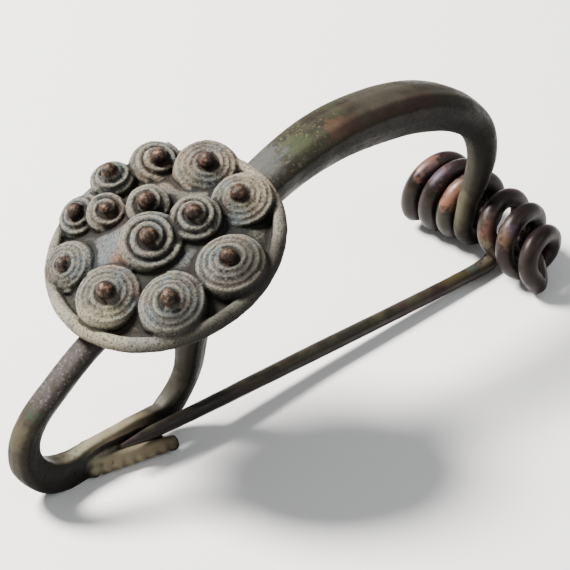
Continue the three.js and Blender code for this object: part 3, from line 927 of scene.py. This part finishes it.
f.tint("#83786a", speck * f.patch((38, 0, 36.8), 7, 0.9) * 0.8)
f.stains([
    ("#6a4a3c", (49.4, -2.7, 39.2), 2.6, 0.9, 0.85),
    *[("#421f1f", place, 3.0, 1.0, 0.75) for place in RED_LINES],
    ("#5b564c", (60, 1.5, 39.3), 7, 1.0, 0.5),
])
print("nodes after the bow's stains:", len(f.tree.nodes))

# %% [markdown]
# The foot bar has colours of its own: a silvery painted sheen on top, green in one spot, dark
# in its turn. So it gets its own list of places.

# %% Bow and foot, the foot's stains
# Painted sheen: the foot bar's top, where the lamp falls, is lightened to a speckled silvery purple.
painted_sheen = f.patch((1.5, 1.0, 20.5), 9.0, 0.5)
f.tint("#575059", painted_sheen * f.noise(1.2, shift=57).ramp(0.35, 0.6) * 0.7)
f.tint("#8f8896", painted_sheen * speck * 0.9)
f.stains([
    ("#776a55", (-6.2, 0.6, 12.8), 3.2, 0.8, 0.6), ("#4f6a4a", (-6.9, 1.2, 12.0), 1.6, 0.8, 0.7),
    ("#5e574c", (-7.1, 0.3, 8.5), 2.6, 0.8, 0.6),
])
green = f.patch((-3.9, -0.9, 15.9), 1.5, 1.2) * f.noise(0.7, shift=52).ramp(0.4, 0.6)
f.tint("#255440", green * 0.75)
f.stains([
    ("#0f0d0b", (-4.5, -2.2, 11), 3.4, 0.4, 0.7), ("#6f6953", (7.5, -2.0, 4.9), 6.5, 0.6, 0.6),
    ("#7d7a70", (19.5, -0.6, 6.8), 4.5, 0.8, 0.6),
])
f.tint("#98886c", f.relief.ramp(0.6, 0.8) * f.patch((11, -3.4, 3.2), 8.0, 0.4) * 0.8)
f.stains([
    ("#5a3020", (11.5, -4.6, 2.3), 4.5, 0.9, 0.55), ("#3a2420", (0, -1.8, 2.0), 5.0, 0.9, 0.6),
    ("#6f6a50", (78.3, 0.8, 9.8), 4.6, 0.8, 0.8),
])
print("nodes after the foot's stains:", len(f.tree.nodes))

# %% [markdown]
# Last come the masks that lie over everything: rubbed edges, darker hollows and the painted
# shade on the sides turned from the lamp. The catch's trough and the ridge of its lip keep a
# pale earthy crust on the open side only, and the crust stays off the painted shade.

# %% Bow and foot, edges and hollows
f.tint("#5a5346", f.relief.ramp(0.62, 0.9) * 0.4)
f.tint("#0e0c0a", f.relief.ramp(0.42, 0.2) * 0.7)
# Painted shade: the sides turned from the lamp are darkened almost to black.
f.tint("#0b0908", f.painted_shade * 0.88)
trough = f.patch((7.5, -1.2, 4.4), 8.0, 0.5) * f.noise(1.6, shift=61).ramp(0.25, 0.6)
across = f.add("ShaderNodeSeparateXYZ", {}, {"Vector": f.where}, out="Y")
f.tint("#a39d84", trough * (1 - f.painted_shade) * across.ramp(1.0, 0.2) * 0.85)
ridge = f.patch((11, -4.0, 4.0), 8.0, 0.3) * f.relief.ramp(0.62, 0.85)
f.tint("#a5977a", ridge * 0.6)
rough = 0.36 + 0.2 * cloud + 0.22 * speck + 0.12 * fine
metal = f.noise(5.0).ramp(0.3, 0.7, 0.04, 0.16)
bump = f.noise(1.6, shift=2) * 0.6 + fine * 0.3 - f.pits(0.9).ramp(0.3, 0.0) * 0.25
bow_finish = f.close(rough, metal, bump, 0.5, gloss=0.08, shade=0.52)

# %% [markdown]
# ## Spring and pin
# The wire is smoother and glossier than the bow: purple-brown coils with coppery and blue-grey
# tops, partly the wire's own colour and partly painted highlights, and an olive pin. Both
# lengths of wire share this finish, and one large patch along the pin's middle tells the pin
# from the coils.

# %% Spring and pin finish
# These sit on the coils' upper fronts, towards the lamp: partly the wire's colour, partly painted highlights.
COIL_STAINS_AND_HIGHLIGHTS = [
    ("#a87358", (79.1, 5.0, 9.6), 2.6), ("#8a6a5c", (79.6, 5.0, 11.4), 2.2),
    ("#7c5546", (78.6, -4.0, 8.4), 2.2), ("#7b6048", (78.7, -7.4, 9.0), 1.8),
    ("#57493c", (79.2, -4.4, 10.4), 2.4), ("#8c6456", (80.0, 11.6, 12.6), 3.4),
    ("#544a58", (79.9, 9.5, 11.6), 2.4), ("#5a4c5c", (79.3, -7.9, 10.6), 1.8),
    ("#8a7c60", (78.0, -3.8, 6.6), 1.1),
]
f = Finish("wire_bronze")
cloud = f.noise(3.5, shift=14).ramp(0.36, 0.64)
fine = f.noise(0.2, detail=3.0, shift=4)
f.colour = f.between("#241819", "#3f2c30", cloud)
pin_part = f.patch((44, -2.9, 3.0), 50.0, 0.03)
f.tint("#2f2c25", pin_part)
f.tint("#454330", pin_part * f.noise(5.0, shift=40).ramp(0.48, 0.62) * 0.8)
f.tint("#3c2728", pin_part * f.noise(6.0, shift=47).ramp(0.52, 0.64) * 0.7)
f.stains([
    ("#5f5830", (72.6, -3.0, 2.8), 3.6, 1.1, 0.4), ("#4e6157", (76.0, -3.2, 2.4), 1.5, 0.9, 0.45),
    ("#746a58", (78.6, -3.4, 2.2), 2.0, 0.8, 0.7), *[(*row, 1.1, 0.65) for row in COIL_STAINS_AND_HIGHLIGHTS],
    ("#2a1514", (82.5, -13.5, 5.5), 5.0, 0.5, 0.7),
])
# Painted shade: the sides turned from the lamp are darkened almost to black.
f.tint("#170b0a", f.painted_shade * 0.78)
rough = 0.26 + 0.2 * cloud + 0.12 * fine
metal = f.noise(3.0).ramp(0.3, 0.7, 0.1, 0.25)
bump = f.noise(1.2, shift=6) * 0.5 + fine * 0.25
wire_finish = f.close(rough, metal, bump, 0.4, gloss=0.2, shade=0.62)

# %% [markdown]
# ## Disc
# The casting is grainy grey-green with brown and blue-grey areas, beige on the crests, which is
# rubbed wear with a painted highlight, and black in the grooves between the turns of cord, which
# is painted shade. The order of the mixes matters: stains lie under the lighter crests, and the
# painted shade in the grooves lies over both.

# %% Disc, ground and stains
f = Finish("disc_bronze")
cloud = f.noise(5.0, shift=8).ramp(0.36, 0.64)
grain = f.noise(0.3, detail=4.0, shift=15)
f.colour = f.between("#46453e", "#57564d", cloud)
f.tint("#485053", f.noise(4.0, shift=28).ramp(0.45, 0.6) * 0.85)
f.tint("#4a3c36", f.noise(3.0, shift=34).ramp(0.5, 0.64) * 0.7)
# The three darkest rows lie along the front of the rim, turned from the lamp, and paint its shade; the others
# are stains.
DISC_STAINS_AND_SHADE = [
    ("#5a6062", (14.2, 4.5, 32.0), 4.5), ("#4a4b4a", (20, -9.5, 32.5), 5.0), ("#8a7c66", (33, -6, 37.2), 6.0),
    ("#8c7e68", (36, 0, 37.5), 7.0), ("#8b8468", (5.5, -3.5, 25.8), 6.0), ("#86806a", (4.6, 5, 25.2), 4.5),
    ("#6c4634", (13.0, 1.5, 33.0), 3.0), ("#5d4a3e", (18, 8, 34.0), 3.5), ("#2c2a27", (21, -16.5, 30.8), 9.0),
    ("#33302b", (31, -13.5, 34.8), 7.0), ("#3f3c37", (11, -14.0, 27.0), 6.0), ("#6e6252", (27, 8, 36.0), 6.0),
]
f.stains([(*row, 0.8, 0.75) for row in DISC_STAINS_AND_SHADE])
print("stains on the disc:", len(DISC_STAINS_AND_SHADE))

# %% [markdown]
# Grain comes from one fine noise, and the copper of the pellets from the number stored on
# their points, because no pattern would find them.

# %% Disc, grain, pellets and grooves
pellet = f.attribute("pellet")
copper = f.between("#251c18", "#705140", f.noise(0.6, shift=70).ramp(0.46, 0.68))
# Lighter crests: rubbed wear together with a painted highlight.
f.tint("#858174", f.relief.ramp(0.56, 0.85) * 0.5)
f.tint("#211d19", grain.ramp(0.5, 0.36) * 0.7)
f.tint("#959082", grain.ramp(0.57, 0.7) * 0.4)
# Painted shade in the grooves between the turns of cord.
f.tint("#0f0d0b", f.relief.ramp(0.5, 0.26) * 0.85)
f.colour = f.mix(f.colour, copper, pellet * 0.9)
# Painted shade along the front of the rim, the side turned from the lamp.
painted_rim_shade = f.patch((14, -16.5, 28.0), 8.5, 0.3) + f.patch((26, -17.5, 33.0), 9.5, 0.3)
f.tint("#26231f", painted_rim_shade.ramp(0.0, 1.0) * 0.7)
# Painted shade: the sides turned from the lamp are darkened almost to black.
f.tint("#0f0d0b", f.painted_shade * 0.85)
rough, metal = 0.6 + 0.25 * grain - 0.2 * pellet, 0.1 + 0.3 * pellet
bump = grain * 0.7 + f.noise(0.9) * 0.5
disc_finish = f.close(rough, metal, bump, 0.75, gloss=0.12, shade=0.9)

# %% [markdown]
# ## Onto the bodies
# The bow, the far coils and the disc are the fixed body. The near coils and the pin are one
# wire that crosses the joint. A cut between the two would open a gap at each swing, so the wire
# is kept whole; here it is not put on a body, and only its place is baked into its mesh.

# %% Dress and place
dressed = [(bow, bow_finish), (far_wire, wire_finish), (near_wire, wire_finish), (disc, disc_finish)]
for piece, finish in dressed:
    piece.data.materials.clear()
    piece.data.materials.append(finish)
    smooth_shaded(piece)

for piece in (bow, far_wire, disc):
    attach(piece, "brooch")
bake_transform(near_wire)
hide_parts("bow")
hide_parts("pin")
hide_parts("disc")
print("faces:", {piece.name: len(piece.data.polygons) for piece, _ in dressed})

# %% [markdown]
# ## Table and sky
# A pale table and sky keep the studio plain. The table is a single square, far larger than
# the brooch, so that its edge stays out of view.

# %% Table and sky
table_corners = [(-2, -2, 0), (2, -2, 0), (2, 2, 0), (-2, 2, 0)]
table = meshed("table", table_corners, faces=[(0, 1, 2, 3)])
paper = Finish("pale_paper")
fibres = paper.noise(40.0, shift=1)
paper.colour = paper.between("#f2f1ef", "#f5f4f2", fibres)
table.data.materials.append(paper.close(0.9 + 0.05 * fibres, 0.0 * fibres, fibres, 0.02))

world = bpy.data.worlds.new("sky")
world.use_nodes = True
world.node_tree.nodes["Background"].inputs["Color"].default_value = (0.95, 0.97, 1.0, 1.0)
world.node_tree.nodes["Background"].inputs["Strength"].default_value = 0.45
bpy.context.scene.world = world
print("table and sky are in place")

# %% [markdown]
# ## Light and camera
# One broad lamp high on the left gives the coils and knobs their form, and a weak one opposite
# keeps the shadows readable. The camera is far away with a long lens, which flattens the
# perspective, so that near and far parts keep their true size.

# %% Light and camera
AZIMUTH, ELEVATION = math.radians(-42), math.radians(36)
CAMERA_DISTANCE, SENSOR = 0.7, 36.0
LONG_LENS = 5005 / 570   # how many times farther away the camera is than its view is wide
right = Vector((math.cos(AZIMUTH), math.sin(AZIMUTH), 0))
back = Vector((math.sin(AZIMUTH) * math.cos(ELEVATION), -math.cos(AZIMUTH) * math.cos(ELEVATION),
               math.sin(ELEVATION)))
up = back.cross(right)
TARGET = Vector((np.array([42.22, 0.0, 14.63]) + SHIFT) * MM)


def look(thing, place):
    turn = (place - TARGET).to_track_quat("Z", "Y").to_matrix().to_4x4()
    thing.matrix_world = Matrix.Translation(place) @ turn


def lamp(name, direction, distance, size, power, tint):
    light = bpy.data.lights.new(name, "AREA")
    light.shape, light.size, light.energy, light.color = "DISK", size, power, tint
    look(added(name, light), TARGET + direction.normalized() * distance)


lamp("key", -0.75 * right + 0.9 * up + 0.35 * back, 0.6, 0.2, 17.0, (1.0, 0.97, 0.93))
lamp("fill", 0.9 * right + 0.4 * up + 0.7 * back, 0.9, 0.5, 1.5, (0.93, 0.96, 1.0))

camera_data = bpy.data.cameras.new("camera")
camera_data.sensor_width, camera_data.lens = SENSOR, LONG_LENS * SENSOR
camera_data.clip_start, camera_data.clip_end = 0.05, 10.0
camera = added("camera", camera_data)
camera.matrix_world = (Matrix.Translation(TARGET + back * CAMERA_DISTANCE)
                       @ Matrix((right, up, back)).transposed().to_4x4())
bpy.context.scene.camera = camera
print("lens, mm:", round(camera_data.lens, 1))

# %% [markdown] ## The last update The finer skins have to stay inside the solids' box, or the
# part would no longer fit where its record says it does. Here the view layer is only brought up to date.

# %% Update the view layer
bpy.context.view_layer.update()
